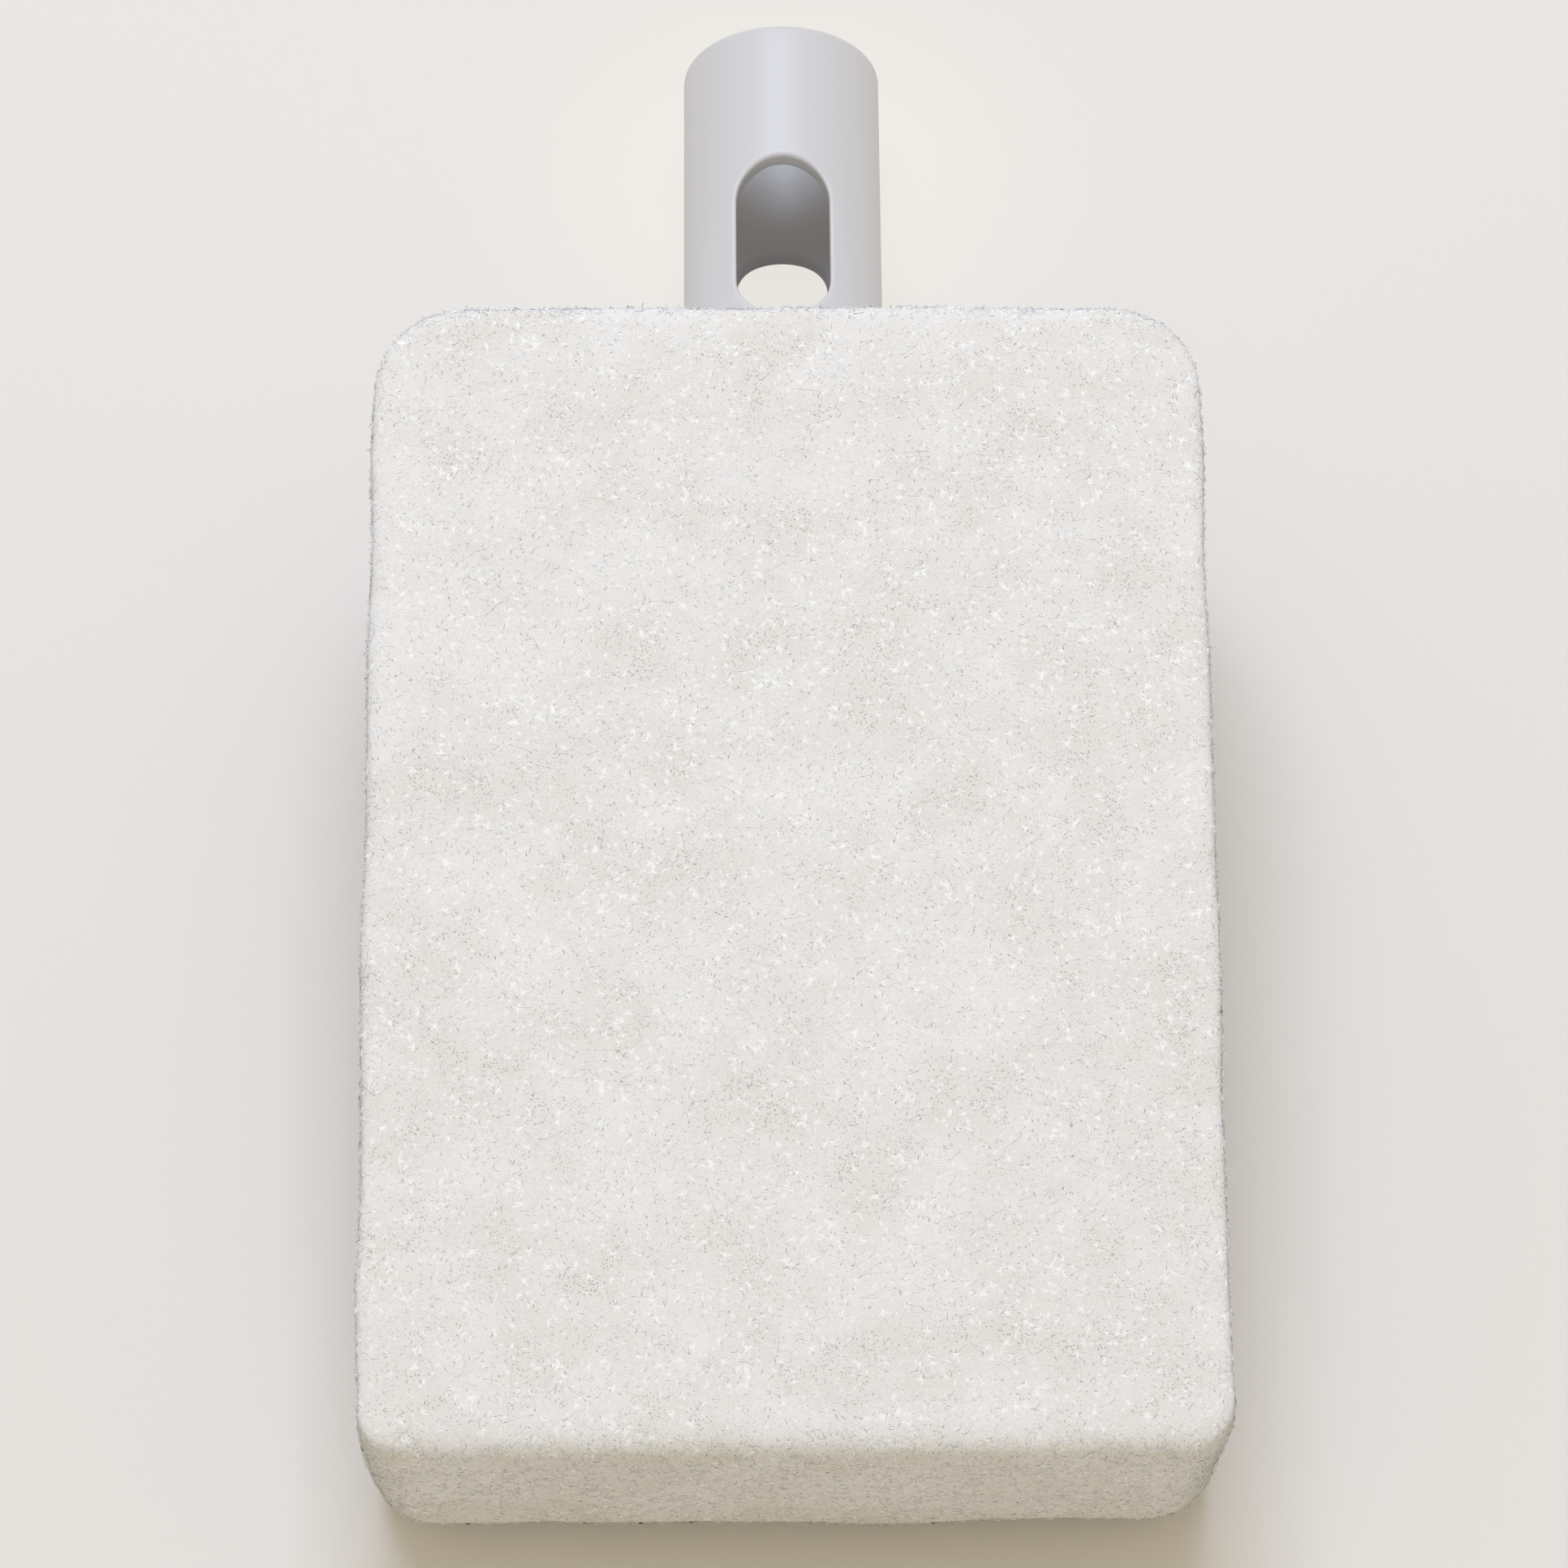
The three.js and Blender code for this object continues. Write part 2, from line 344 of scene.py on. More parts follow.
def socket_mesh():
    """The tube with its nose, slots, rim and bore, about the Y axis."""
    slot_far = mouth_at - SLOT_FROM_MOUTH + SLOT_ZONE
    slot_near = mouth_at - SLOT_FROM_MOUTH - SLOT_LENGTH - SLOT_ZONE
    nose = plate_front + NOSE_SETBACK
    bore_end = mouth_at - BORE_DEPTH
    outside = arc((0, nose + SOCKET_RADIUS), SOCKET_RADIUS, -90, 0, 20)
    outside[0] = (0.0, nose)
    outside += [(SOCKET_RADIUS, y) for y in np.linspace(nose + SOCKET_RADIUS, slot_near, 24)[1:]]
    rim = [(SOCKET_RADIUS, y) for y in np.linspace(slot_far, mouth_at - RIM_ROUND, 10)[:-1]]
    rim += arc((SOCKET_RADIUS - RIM_ROUND, mouth_at - RIM_ROUND), RIM_ROUND, 0, 90, 8)
    rim += arc((bore_radius + RIM_ROUND, mouth_at - RIM_ROUND), RIM_ROUND, 90, 180, 8)
    rim += [(bore_radius, y) for y in np.linspace(mouth_at - RIM_ROUND, slot_far, 10)[1:]]
    inside = [(bore_radius, y) for y in np.linspace(slot_near, bore_end + BORE_END_ROUND, 4)]
    inside += arc((bore_radius - BORE_END_ROUND, bore_end + BORE_END_ROUND), BORE_END_ROUND, 0, -90, 6)[1:]
    inside += [(0.0, bore_end)]
    parts = [turned_wall(outside), turned_wall(rim), turned_wall(inside)]
    parts.append(slotted_wall(SOCKET_RADIUS, SLOT_EDGE_ROUND, slot_near, slot_far))
    parts.append(slotted_wall(bore_radius, SLOT_INNER_ROUND, slot_near, slot_far))
    for side in (1, -1):
        rows = slot_lining(side)
        count = len(rows[0])
        points = [p for row in rows for p in row]
        faces = []
        for level in range(len(rows) - 1):
            low, high = level * count, (level + 1) * count
            for i in range(count):
                j = (i + 1) % count
                faces.append((low + i, low + j, high + j, high + i))
        parts.append((points, faces))
    mesh = clean_mesh("socket", parts)
    mesh.transform(Matrix.Translation((0, 0, SOCKET_RADIUS)))
    return mesh


def rounded_outline(width, length, corners, steps):
    """A rectangle with round corners about the origin, anticlockwise from the back right one."""
    points = []
    for quarter, (sx, sy) in enumerate(((1, 1), (-1, 1), (-1, -1), (1, -1))):
        corner = corners[quarter]
        middle = (sx * (width / 2 - corner), sy * (length / 2 - corner))
        for i in range(steps + 1):
            a = (quarter + i / steps) * math.pi / 2
            points.append((middle[0] + corner * math.cos(a), middle[1] + corner * math.sin(a)))
    return points


def slab_mesh(
    name, width, length, lower_corners, upper_corners, thickness, lower_round, upper_round, side_share=1.0
):
    """A slab with round corners and edges, standing on z = 0 with its front edge at y = 0. The rounding
    of its long sides is side_share as wide as the rounding of its ends."""
    steps = 8
    turns = np.linspace(0, math.pi / 2, steps)
    levels = [(lower_round * (1 - math.sin(a)), lower_round * (1 - math.cos(a))) for a in turns]
    levels += [
        (upper_round * (1 - math.cos(a)), thickness - upper_round * (1 - math.sin(a))) for a in turns
    ]
    points, faces = [], []
    for inset, height in levels:
        up = height / thickness
        plain = [low + up * (high - low) for low, high in zip(lower_corners, upper_corners)]
        radii = [max(corner - inset, corner / 4) for corner in plain]
        ring = rounded_outline(width - 2 * inset * side_share, length - 2 * inset, radii, steps)
        points += [(x, y + length / 2, height) for x, y in ring]
    count = len(points) // len(levels)
    for level in range(len(levels) - 1):
        low, high = level * count, (level + 1) * count
        for i in range(count):
            j = (i + 1) % count
            faces.append((low + i, low + j, high + j, high + i))
    faces.append(tuple(reversed(range(count))))
    faces.append(tuple(range(len(points) - count, len(points))))
    return clean_mesh(name, [(points, faces)])


def box_mesh(name, low, high):
    """A plain box used as a cutter."""
    corners = [(x, y, z) for x in (low[0], high[0]) for y in (low[1], high[1]) for z in (low[2], high[2])]
    faces = [(0, 1, 3, 2), (4, 6, 7, 5), (0, 4, 5, 1), (2, 3, 7, 6), (0, 2, 6, 4), (1, 5, 7, 3)]
    return clean_mesh(name, [(corners, faces)])


def apply_modifiers(target):
    """The object's mesh as its modifiers make it. The modifiers are then removed."""
    made = bpy.data.meshes.new_from_object(target.evaluated_get(bpy.context.evaluated_depsgraph_get()))
    target.modifiers.clear()
    return made


def join_solids(first, second, operation):
    """Applies one exact boolean to the first object and removes the second."""
    cut = first.modifiers.new("cut", "BOOLEAN")
    cut.operation = operation
    cut.solver = "EXACT"
    cut.object = second
    first.data = apply_modifiers(first)
    bpy.data.objects.remove(second)


holder = put_in_scene("holder_moulding", socket_mesh())
plate_corners = [PLATE_CORNER] * 4
plate = slab_mesh(
    "plate", plate_width, plate_length, plate_corners, plate_corners, PLATE_THICKNESS, PLATE_EDGE, PLATE_EDGE
)
plate.transform(sloping)
join_solids(holder, put_in_scene("plate", plate), "UNION")
pad_space = box_mesh(
    "pad_space",
    (-pad_width, -2 * PLATE_INSET, PLATE_THICKNESS),
    (pad_width, PAD_LENGTH - PLATE_INSET + PAD_CLEARANCE, PAD_THICKNESS + 2 * SOCKET_RADIUS),
)
pad_space.transform(sloping)
join_solids(holder, put_in_scene("pad_space", pad_space), "DIFFERENCE")
holder.data.transform(to_metres)
holder.data.name = "holder_moulding"
holder.data.shade_smooth()
holder.data.set_sharp_from_angle(angle=math.radians(40))

# Polypropylene moulded against a fine spark-eroded tool: an even satin skin, hardly rough.
MOULDING_COLOUR = "#d2d2d6"
SKIN_GRAIN_MM = 0.25
FLOW_MM = 50 / 3
SKIN_ROUGHNESS = (0.36, 0.46)

satin_polypropylene, tree = new_material("satin_polypropylene")
place = add_node(tree, "ShaderNodeTexCoord")
grain = add_node(tree, "ShaderNodeTexNoise", {
    "Vector": place.outputs["Object"], "Scale": 1 / (SKIN_GRAIN_MM * MM), "Detail": 2.0,
})
flow = add_node(tree, "ShaderNodeTexNoise", {
    "Vector": place.outputs["Object"], "Scale": 1 / (FLOW_MM * MM), "Detail": 3.0,
})
skin = add_node(tree, "ShaderNodeMapRange", {
    "Value": flow.outputs["Fac"], "To Min": SKIN_ROUGHNESS[0], "To Max": SKIN_ROUGHNESS[1],
})
bump = add_node(tree, "ShaderNodeBump", {
    "Height": grain.outputs["Fac"], "Strength": 0.05, "Distance": 0.05 * MM,
})
shader = add_node(tree, "ShaderNodeBsdfPrincipled", {
    "Base Color": linear(MOULDING_COLOUR), "Roughness": skin.outputs["Result"], "IOR": 1.49,
    "Normal": bump.outputs["Normal"],
})
add_node(tree, "ShaderNodeOutputMaterial", {"Surface": shader.outputs[0]})
holder.data.materials.clear()
holder.data.materials.append(satin_polypropylene)
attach(holder, "root")
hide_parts("socket_holder")


# The pad: one thick block of white non-woven, curled polyester fibres bonded where they cross. It was
# cut with rounded corners, and its surface is an uneven felt with clumps, hollows and open pores.
# Corner radii from above: back right, back left, front left, front right.
PAD_BACK_CORNERS = [10.5, 10.5, 7.5, 8.0]
PAD_FACE_CORNERS = [10.5, 10.5, 4.5, 5.5]
PAD_FACE_ROUND = 3.2
PAD_BACK_ROUND = 2.5
SIDE_ROUND_SHARE = 0.25  # the long sides were cut sharper than the ends
NAP_DEPTH = 0.3  # the block is made smaller by this, and its relief and fibres fill the rest
PAD_CELL = 0.72

pad_mesh = slab_mesh(
    "pad_block",
    pad_width - 2 * NAP_DEPTH,
    PAD_LENGTH - 2 * NAP_DEPTH,
    PAD_BACK_CORNERS,
    PAD_FACE_CORNERS,
    PAD_THICKNESS - NAP_DEPTH,
    PAD_BACK_ROUND,
    PAD_FACE_ROUND,
    side_share=SIDE_ROUND_SHARE,
)
pad_mesh.transform(Matrix.Translation((0, NAP_DEPTH - PLATE_INSET, PLATE_THICKNESS + BOND_GAP)))
pad_block = put_in_scene("pad_block", pad_mesh)
even_cells = pad_block.modifiers.new("even_cells", "REMESH")
even_cells.mode = "VOXEL"
even_cells.voxel_size = PAD_CELL
pad_block.data = apply_modifiers(pad_block)
pad_block.data.transform(to_metres @ sloping)
face_normal = (sloping.to_3x3() @ Vector((0, 0, 1))).normalized()


def new_tree(name, inputs):
    """A geometry tree with a geometry input and output and the named inputs given as name: kind."""
    made = bpy.data.node_groups.new(name, "GeometryNodeTree")
    made.interface.new_socket("Geometry", in_out="INPUT", socket_type="NodeSocketGeometry")
    made.interface.new_socket("Geometry", in_out="OUTPUT", socket_type="NodeSocketGeometry")
    for label, kind in inputs.items():
        made.interface.new_socket(label, in_out="INPUT", socket_type="NodeSocket" + kind)
    return made, made.nodes.new("NodeGroupInput"), made.nodes.new("NodeGroupOutput")


def dress(target, tree, values):
    """Runs a geometry tree on an object and returns the result as a plain mesh."""
    modifier = target.modifiers.new(tree.name, "NODES")
    modifier.node_group = tree
    for item in tree.interface.items_tree:
        if item.item_type == "SOCKET" and item.in_out == "INPUT" and item.name in values:
            modifier[item.identifier] = values[item.name]
    return apply_modifiers(target)


def felt_relief():
    """Moves the surface in and out along its normal, in long waves and in clumps of fibre."""
    tree, given, result = new_tree("felt_relief", {
        "Wave Height": "Float", "Clump Height": "Float", "Wave Size": "Float", "Clump Size": "Float",
    })
    position = add_node(tree, "GeometryNodeInputPosition")
    heights = []
    for label, detail in (("Wave", 1.0), ("Clump", 2.0)):
        scale = add_node(tree, "ShaderNodeMath", {
            0: 1.0, 1: given.outputs[label + " Size"],
        }, operation="DIVIDE")
        noise = add_node(tree, "ShaderNodeTexNoise", {
            "Vector": position.outputs[0], "Scale": scale.outputs[0], "Detail": detail, "Roughness": 0.5,
        })
        centred = add_node(tree, "ShaderNodeMath", {0: noise.outputs[0], 1: 0.5}, operation="SUBTRACT")
        scaled = add_node(tree, "ShaderNodeMath", {
            0: centred.outputs[0], 1: given.outputs[label + " Height"],
        }, operation="MULTIPLY")
        heights.append(scaled.outputs[0])
    raised = add_node(tree, "ShaderNodeMath", {0: heights[0], 1: heights[1]}, operation="ADD")
    normal = add_node(tree, "GeometryNodeInputNormal")
    offset = add_node(tree, "ShaderNodeVectorMath", {
        0: normal.outputs[0], "Scale": raised.outputs[0],
    }, operation="SCALE")
    moved = add_node(tree, "GeometryNodeSetPosition", {
        "Geometry": given.outputs["Geometry"], "Offset": offset.outputs[0],
    })
    smooth = add_node(tree, "GeometryNodeSetShadeSmooth", {"Geometry": moved.outputs[0]})
    tree.links.new(smooth.outputs[0], result.inputs[0])
    return tree


WAVE_HEIGHT = 1.2
WAVE_SIZE = 24.0
CLUMP_HEIGHT = 0.28
CLUMP_SIZE = 3.0
pad_block.data = dress(pad_block, felt_relief(), {
    "Wave Height": WAVE_HEIGHT * MM, "Wave Size": WAVE_SIZE * MM,
    "Clump Height": CLUMP_HEIGHT * MM, "Clump Size": CLUMP_SIZE * MM,
})
pad_block.data.name = "pad_block"

# Bonded polyester felt: matt white, with clusters of open pores 0.1 to 0.3 mm wide that are painted
# brownish, as the shade that falls deep inside them, and a web of finer threads than the ones that stand
# out. Light soaks into the open fibre and comes out at its sides, so they are shaded as if they leaned
# towards the working face.
FELT_COLOUR = "#efedec"
CLOUD_COLOUR = "#e9e6e1"
THREAD_COLOUR = "#f8f8f8"
# painted shade: the brownish tone of the pores stands for the shade deep inside them
PORE_SHADE_COLOUR = "#c9c4bc"
PORE_SPACING_MM = 0.36
CLUSTER_MM = 2.6
CLOUD_MM = 9.0
THREAD_MM = 1.3
SOAK = 0.35  # how far the shading leans towards the working face
SIDE_SHARE = (0.3, 1.0, 1.0)  # the left and right sides lean more than the ends
CROWDED_FROM = 0.9
CROWDED_TO = 1.2
PORE_REACH = 0.34
PORE_EDGE = 0.12
THREAD_EDGE = 0.022
THREAD_CORE = 0.004

bonded_felt, tree = new_material("bonded_polyester_felt")
place = add_node(tree, "ShaderNodeTexCoord")
clouds = add_node(tree, "ShaderNodeTexNoise", {
    "Vector": place.outputs["Object"], "Scale": 1 / (CLOUD_MM * MM), "Detail": 4.0, "Roughness": 0.6,
})
clusters = add_node(tree, "ShaderNodeTexNoise", {
    "Vector": place.outputs["Object"], "Scale": 1 / (CLUSTER_MM * MM), "Detail": 2.0, "Roughness": 0.55,
})
pores = add_node(tree, "ShaderNodeTexVoronoi", {
    "Vector": place.outputs["Object"], "Scale": 1 / (PORE_SPACING_MM * MM),
}, feature="F1")
threads = add_node(tree, "ShaderNodeTexNoise", {
    "Vector": place.outputs["Object"], "Scale": 1 / (THREAD_MM * MM), "Detail": 1.0, "Distortion": 1.5,
})
crowded = add_node(tree, "ShaderNodeMath", {
    0: clusters.outputs["Fac"], 1: clouds.outputs["Fac"],
}, operation="ADD")
open_area = add_node(tree, "ShaderNodeMapRange", {
    "Value": crowded.outputs[0], "From Min": CROWDED_FROM, "From Max": CROWDED_TO, "To Max": PORE_REACH,
})
inside = add_node(tree, "ShaderNodeMath", {
    0: open_area.outputs[0], 1: pores.outputs["Distance"],
}, operation="SUBTRACT")
pore = add_node(tree, "ShaderNodeMapRange", {"Value": inside.outputs[0], "From Max": PORE_EDGE})
off_line = add_node(tree, "ShaderNodeMath", {0: threads.outputs["Fac"], 1: 0.5}, operation="SUBTRACT")
beside = add_node(tree, "ShaderNodeMath", {0: off_line.outputs[0]}, operation="ABSOLUTE")
thread = add_node(tree, "ShaderNodeMapRange", {
    "Value": beside.outputs[0], "From Min": THREAD_EDGE, "From Max": THREAD_CORE,
})
cloud = add_node(tree, "ShaderNodeMapRange", {
    "Value": clouds.outputs["Fac"], "From Min": 0.40, "From Max": 0.62,
})
mottled = add_node(tree, "ShaderNodeMixRGB", {
    "Fac": cloud.outputs[0], "Color1": linear(FELT_COLOUR), "Color2": linear(CLOUD_COLOUR),
})
# The pores get painted shade.
pore_shaded = add_node(tree, "ShaderNodeMixRGB", {
    "Fac": pore.outputs[0], "Color1": mottled.outputs[0], "Color2": linear(PORE_SHADE_COLOUR),
})
webbed = add_node(tree, "ShaderNodeMixRGB", {
    "Fac": thread.outputs[0], "Color1": pore_shaded.outputs[0], "Color2": linear(THREAD_COLOUR),
})
height = add_node(tree, "ShaderNodeMath", {0: thread.outputs[0], 1: pore.outputs[0]}, operation="SUBTRACT")
flat = add_node(tree, "ShaderNodeNewGeometry")
narrow = add_node(tree, "ShaderNodeVectorMath", {
    0: flat.outputs["Normal"], 1: SIDE_SHARE,
}, operation="MULTIPLY")
soaked = add_node(tree, "ShaderNodeVectorMath", {
    0: narrow.outputs[0], 1: face_normal * SOAK,
}, operation="ADD")
soft_normal = add_node(tree, "ShaderNodeVectorMath", {0: soaked.outputs[0]}, operation="NORMALIZE")
bump = add_node(tree, "ShaderNodeBump", {
    "Height": height.outputs[0], "Strength": 0.5, "Distance": 0.1 * MM, "Normal": soft_normal.outputs[0],
})
shader = add_node(tree, "ShaderNodeBsdfPrincipled", {
    "Base Color": webbed.outputs[0], "Roughness": 0.95, "Specular IOR Level": 0.2,
    "Normal": bump.outputs["Normal"],
})
add_node(tree, "ShaderNodeOutputMaterial", {"Surface": shader.outputs[0]})
pad_block.data.materials.clear()
pad_block.data.materials.append(bonded_felt)
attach(pad_block, "root")
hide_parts("scrub_pad")


# The fibres: crimped white polyester staple, 1 to 4 mm of each showing. They lie in loops on the
# block, dive into it at both ends, and stand up as a short fuzz round its edges. Light goes through
# them, so they are shaded mostly as the surface that they lie on.
FIBRE_COLOUR = "#fdfdfd"
FIBRE_POINTS = 5
CURL_LENGTH = (0.9, 3.2)
CURL_TURN = (0.3, 1.2)
CURL_LIFT = (0.1, 0.35)
CURL_RADIUS = (0.05, 0.09)
FINE_LENGTH = (0.8, 2.4)
FINE_TURN = (0.3, 1.1)
FINE_LIFT = (0.1, 0.25)
FINE_RADIUS = (0.03, 0.05)
TIP_LENGTH = (0.5, 1.2)
TIP_BEND = (-0.8, 0.8)
TIP_RADIUS = (0.035, 0.06)
WEB_REACH = (0.25, 0.65)
WEB_THICKNESS = 0.05
THROUGH_SHARE = 0.12  # light that a fibre lets through
# Sections of a thread, as steps out to its side and up, in radii.
FLAT_SECTION = ((0, -1), (0.87, 0.5), (-0.87, 0.5))
RIDGED_SECTION = ((0, 0.7), (-1, -0.35), (1, -0.35))
random = np.random.default_rng(41)

polyester_staple, tree = new_material("polyester_staple")
laid_on = add_node(tree, "ShaderNodeAttribute", attribute_name="laid_on", attribute_type="GEOMETRY")
own = add_node(tree, "ShaderNodeNewGeometry")
leaning = add_node(tree, "ShaderNodeVectorMath", {
    0: laid_on.outputs["Vector"], "Scale": 2.0,
}, operation="SCALE")
own_share = add_node(tree, "ShaderNodeVectorMath", {
    0: own.outputs["Normal"], "Scale": 0.5,
}, operation="SCALE")
both = add_node(tree, "ShaderNodeVectorMath", {
    0: leaning.outputs[0], 1: own_share.outputs[0],
}, operation="ADD")
narrow = add_node(tree, "ShaderNodeVectorMath", {0: both.outputs[0], 1: SIDE_SHARE}, operation="MULTIPLY")
soaked = add_node(tree, "ShaderNodeVectorMath", {
    0: narrow.outputs[0], 1: face_normal * 3 * SOAK,
}, operation="ADD")
soft_normal = add_node(tree, "ShaderNodeVectorMath", {0: soaked.outputs[0]}, operation="NORMALIZE")
skin = add_node(tree, "ShaderNodeBsdfPrincipled", {
    "Base Color": linear(FIBRE_COLOUR), "Roughness": 0.6, "Specular IOR Level": 0.3,
    "Normal": soft_normal.outputs[0],
})
through = add_node(tree, "ShaderNodeBsdfTranslucent", {
    "Color": linear(FIBRE_COLOUR), "Normal": soft_normal.outputs[0],
})
shader = add_node(tree, "ShaderNodeMixShader", {0: THROUGH_SHARE, 1: skin.outputs[0], 2: through.outputs[0]})
add_node(tree, "ShaderNodeOutputMaterial", {"Surface": shader.outputs[0]})


def curl_path(length, curl, lift):
    """One crimped fibre about the origin: its heading wanders, and its middle stands up by lift."""
    steps = np.linspace(-0.5, 0.5, FIBRE_POINTS)
    turning = np.cumsum(random.normal(curl, abs(curl) * 0.4 + 0.15, FIBRE_POINTS))
    heading = turning - turning.mean()
    x = np.concatenate([[0], np.cumsum(np.cos(heading[1:]))]) * length / (FIBRE_POINTS - 1)
    y = np.concatenate([[0], np.cumsum(np.sin(heading[1:]))]) * length / (FIBRE_POINTS - 1)
    z = lift * np.cos(steps * math.pi) + random.normal(0, 0.03, FIBRE_POINTS)
    return np.column_stack([x - x.mean(), y - y.mean(), z])


def tip_path(length, bend):
    """One fibre end that stands on the surface and bends over to a side."""
    steps = np.linspace(0, 1, FIBRE_POINTS)
    lean = random.uniform(0.1, 0.6)
    x = length * (lean * steps + bend * steps**2)
    y = length * random.normal(0, 0.06, FIBRE_POINTS) * steps
    return np.column_stack([x, y, length * (steps - 0.35 * abs(bend) * steps**2) - 0.25])


def thread_mesh(name, path, radius, section):
    """A closed three-sided thread along a path, pointed at both ends, in metres."""
    ahead = np.gradient(path, axis=0)
    ahead /= np.linalg.norm(ahead, axis=1)[:, None]
    side = np.cross(ahead, (0, 0.02, 1.0))
    side /= np.linalg.norm(side, axis=1)[:, None]
    above = np.cross(side, ahead)
    points = [path[0]]
    for i in range(1, len(path) - 1):
        for out, up in section:
            points.append(path[i] + radius * (out * side[i] + up * above[i]))
    points.append(path[-1])
    last = len(points) - 1
    faces = []
    for k in range(3):
        j = (k + 1) % 3
        faces.append((0, 1 + k, 1 + j))
        for ring in range(len(path) - 3):
            low, high = 1 + 3 * ring, 4 + 3 * ring
            faces.append((low + k, high + k, high + j, low + j))
        faces.append((last, last - 3 + j, last - 3 + k))
    mesh = clean_mesh(name, [(points, faces)], merge=0.0001)
    mesh.transform(to_metres)
    mesh.shade_smooth()
    return mesh


def web_mesh(name, reach, arms, thickness):
    """A bonded crossing: a flat drop of binder drawn out along the fibres that meet in it, in metres."""
    points = [(0, 0, thickness), (0, 0, -thickness)]
    turns = np.sort(random.uniform(0, 2 * math.pi, arms))
    for i, turn_here in enumerate(turns):
        following = turns[(i + 1) % arms] + (2 * math.pi if i + 1 == arms else 0)
        between = (turn_here + following) / 2
        arm = reach * random.uniform(0.6, 1.3)
        points.append((arm * math.cos(turn_here), arm * math.sin(turn_here), random.uniform(-0.05, 0.05)))
        points.append((reach * 0.3 * math.cos(between), reach * 0.3 * math.sin(between), 0))
    faces = []
    for i in range(2, 2 + 2 * arms):
        j = 2 + (i - 1) % (2 * arms)
        faces.append((0, i, j))
        faces.append((1, j, i))
    mesh = clean_mesh(name, [(points, faces)], merge=0.0001)
    mesh.transform(to_metres)
    return mesh


def shape_collection(name, meshes):
    """A collection of shapes for the fibre tree to pick from. It isn't shown by itself."""
    made = bpy.data.collections.new(name)
    for mesh in meshes:
        made.objects.link(bpy.data.objects.new(mesh.name, mesh))
    return made


curls = shape_collection("curls", [
    thread_mesh(
        f"curl_{i:02}",
        curl_path(
            random.uniform(*CURL_LENGTH),
            random.choice([-1, 1]) * random.uniform(*CURL_TURN),
            random.uniform(*CURL_LIFT),
        ),
        random.uniform(*CURL_RADIUS),
        FLAT_SECTION,
    )
    for i in range(20)
])
fine_curls = shape_collection("fine_curls", [
    thread_mesh(
        f"fine_curl_{i:02}",
        curl_path(
            random.uniform(*FINE_LENGTH),
            random.choice([-1, 1]) * random.uniform(*FINE_TURN),
            random.uniform(*FINE_LIFT),
        ),
        random.uniform(*FINE_RADIUS),
        RIDGED_SECTION,
    )
    for i in range(20)
])
tips = shape_collection("tips", [
    thread_mesh(
        f"tip_{i:02}",
        tip_path(random.uniform(*TIP_LENGTH), random.uniform(*TIP_BEND)),
        random.uniform(*TIP_RADIUS),
        RIDGED_SECTION,
    )
    for i in range(12)
])
webs = shape_collection("webs", [
    web_mesh(f"web_{i:02}", random.uniform(*WEB_REACH), int(random.integers(3, 6)), WEB_THICKNESS)
    for i in range(10)
])


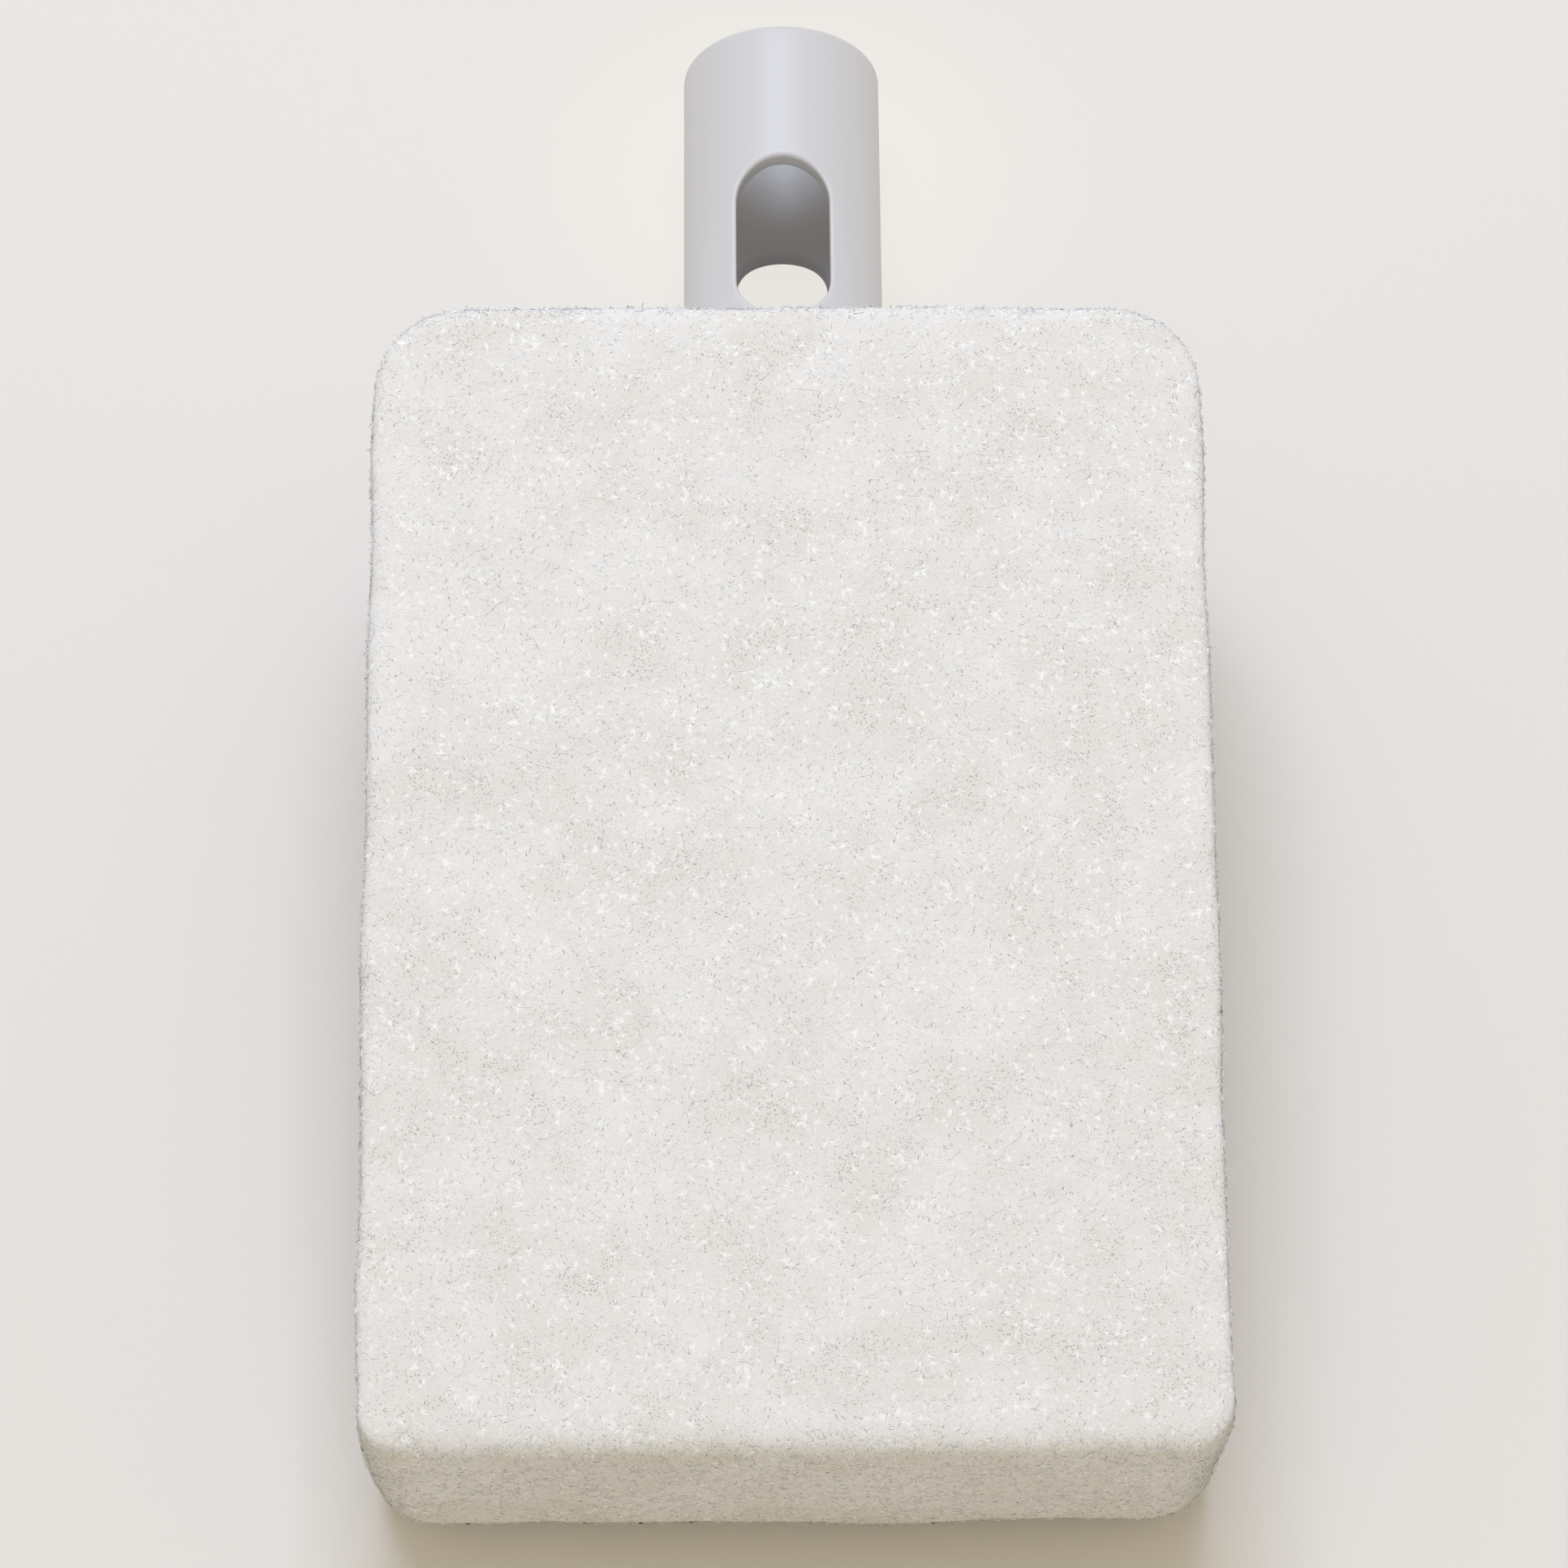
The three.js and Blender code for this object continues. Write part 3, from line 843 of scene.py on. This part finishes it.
def scattered_shapes():
    """Shapes laid at random on the faces of the block that look along a direction."""
    tree, given, result = new_tree("scattered_shapes", {
        "Shapes": "Collection", "Density": "Float", "Facing": "Vector", "Least Facing": "Float",
        "Most Facing": "Float", "Half": "Vector", "Both Ways": "Float", "Tilt": "Float", "Lift": "Float",
        "Seed": "Int", "Material": "Material",
    })
    normal = add_node(tree, "GeometryNodeInputNormal")
    facing = add_node(tree, "ShaderNodeVectorMath", {
        0: normal.outputs[0], 1: given.outputs["Facing"],
    }, operation="DOT_PRODUCT")
    size = add_node(tree, "ShaderNodeMath", {0: facing.outputs["Value"]}, operation="ABSOLUTE")
    either = add_node(tree, "ShaderNodeMix", {
        "Factor": given.outputs["Both Ways"], "A": facing.outputs["Value"], "B": size.outputs[0],
    })
    over = add_node(tree, "ShaderNodeMath", {
        0: either.outputs[0], 1: given.outputs["Least Facing"],
    }, operation="GREATER_THAN")
    under = add_node(tree, "ShaderNodeMath", {
        0: either.outputs[0], 1: given.outputs["Most Facing"],
    }, operation="LESS_THAN")
    looks = add_node(tree, "ShaderNodeMath", {0: over.outputs[0], 1: under.outputs[0]}, operation="MULTIPLY")
    position = add_node(tree, "GeometryNodeInputPosition")
    half_side = add_node(tree, "ShaderNodeVectorMath", {
        0: position.outputs[0], 1: given.outputs["Half"],
    }, operation="DOT_PRODUCT")
    in_half = add_node(tree, "ShaderNodeMath", {
        0: half_side.outputs["Value"], 1: -1e-9,
    }, operation="GREATER_THAN")
    wanted = add_node(tree, "ShaderNodeMath", {
        0: looks.outputs[0], 1: in_half.outputs[0],
    }, operation="MULTIPLY")
    density = add_node(tree, "ShaderNodeMath", {
        0: wanted.outputs[0], 1: given.outputs["Density"],
    }, operation="MULTIPLY")
    spread = add_node(tree, "GeometryNodeDistributePointsOnFaces", {
        "Mesh": given.outputs["Geometry"], "Density": density.outputs[0], "Seed": given.outputs["Seed"],
    }, distribute_method="RANDOM")
    noted = add_node(tree, "GeometryNodeStoreNamedAttribute", {
        "Geometry": spread.outputs["Points"], "Name": "laid_on", "Value": spread.outputs["Normal"],
    }, data_type="FLOAT_VECTOR", domain="POINT")
    up = add_node(tree, "ShaderNodeVectorMath", {
        0: spread.outputs["Normal"], "Scale": given.outputs["Lift"],
    }, operation="SCALE")
    raised = add_node(tree, "GeometryNodeSetPosition", {
        "Geometry": noted.outputs[0], "Offset": up.outputs[0],
    })
    shapes = add_node(tree, "GeometryNodeCollectionInfo", {
        "Collection": given.outputs["Shapes"], "Separate Children": True, "Reset Children": True,
    })
    high_turn = add_node(tree, "ShaderNodeCombineXYZ", {
        "X": given.outputs["Tilt"], "Y": given.outputs["Tilt"], "Z": math.pi,
    })
    back_turn = add_node(tree, "ShaderNodeVectorMath", {
        0: high_turn.outputs[0], 1: (-1.0, -1.0, -1.0),
    }, operation="MULTIPLY")
    spin = add_node(tree, "FunctionNodeRandomValue", {
        "Min": back_turn.outputs[0], "Max": high_turn.outputs[0], "Seed": 3,
    }, data_type="FLOAT_VECTOR")
    as_turn = add_node(tree, "FunctionNodeEulerToRotation", {0: spin.outputs[0]})
    turned = add_node(tree, "FunctionNodeRotateRotation", {
        "Rotation": spread.outputs["Rotation"], "Rotate By": as_turn.outputs[0],
    }, rotation_space="LOCAL")
    stretch = add_node(tree, "FunctionNodeRandomValue", {
        "Min": (0.6, 0.6, 0.5), "Max": (1.3, 1.3, 1.4), "Seed": 5,
    }, data_type="FLOAT_VECTOR")
    laid = add_node(tree, "GeometryNodeInstanceOnPoints", {
        "Points": raised.outputs[0], "Instance": shapes.outputs[0], "Pick Instance": True,
        "Rotation": turned.outputs[0], "Scale": stretch.outputs[0],
    })
    solid = add_node(tree, "GeometryNodeRealizeInstances", {"Geometry": laid.outputs[0]})
    coloured = add_node(tree, "GeometryNodeSetMaterial", {
        "Geometry": solid.outputs[0], "Material": given.outputs["Material"],
    })
    tree.links.new(coloured.outputs[0], result.inputs[0])
    return tree


slope_ahead = (sloping.to_3x3() @ Vector((0, 1, 0))).normalized()
across = Vector((1, 0, 0))
anywhere = Vector((0, 0, 0))
PER_MM2 = 1e6
FIBRE_SETS = {
    # name: (shapes, number on a square mm, direction faced, least and most of it,
    #        half of the block, both ways, tilt in degrees, lift in mm)
    "face_curls_left": (curls, 0.8, face_normal, 0.4, 2.0, -across, 0.0, 8, 0.0),
    "face_curls_right": (curls, 0.8, face_normal, 0.4, 2.0, across, 0.0, 8, 0.0),
    "end_curls": (fine_curls, 1.3, slope_ahead, 0.45, 2.0, anywhere, 1.0, 14, 0.0),
    "side_curls": (fine_curls, 0.9, across, 0.45, 2.0, anywhere, 1.0, 14, 0.0),
    "edge_tips": (tips, 0.9, face_normal, 0.15, 0.93, anywhere, 0.0, 35, 0.0),
    "bonded_webs": (webs, 0.5, face_normal, -0.5, 2.0, anywhere, 0.0, 10, 0.12),
}
fibre_tree = scattered_shapes()
for seed, (name, values) in enumerate(FIBRE_SETS.items()):
    shapes, density, facing, least, most, half_of, both_ways, tilt, lift = values
    mesh = dress(pad_block, fibre_tree, {
        "Shapes": shapes, "Density": density * PER_MM2, "Facing": facing, "Least Facing": least,
        "Most Facing": most, "Half": half_of, "Both Ways": both_ways, "Tilt": math.radians(tilt),
        "Lift": lift * MM, "Seed": 100 + seed, "Material": polyester_staple,
    })
    mesh.name = name
    fibres = put_in_scene(name, mesh)
    fibres.visible_shadow = False
    fibres.visible_diffuse = False
    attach(fibres, "root")

for used in (curls, fine_curls, tips, webs):
    for shape in list(used.objects):
        bpy.data.objects.remove(shape)
    bpy.data.collections.remove(used)
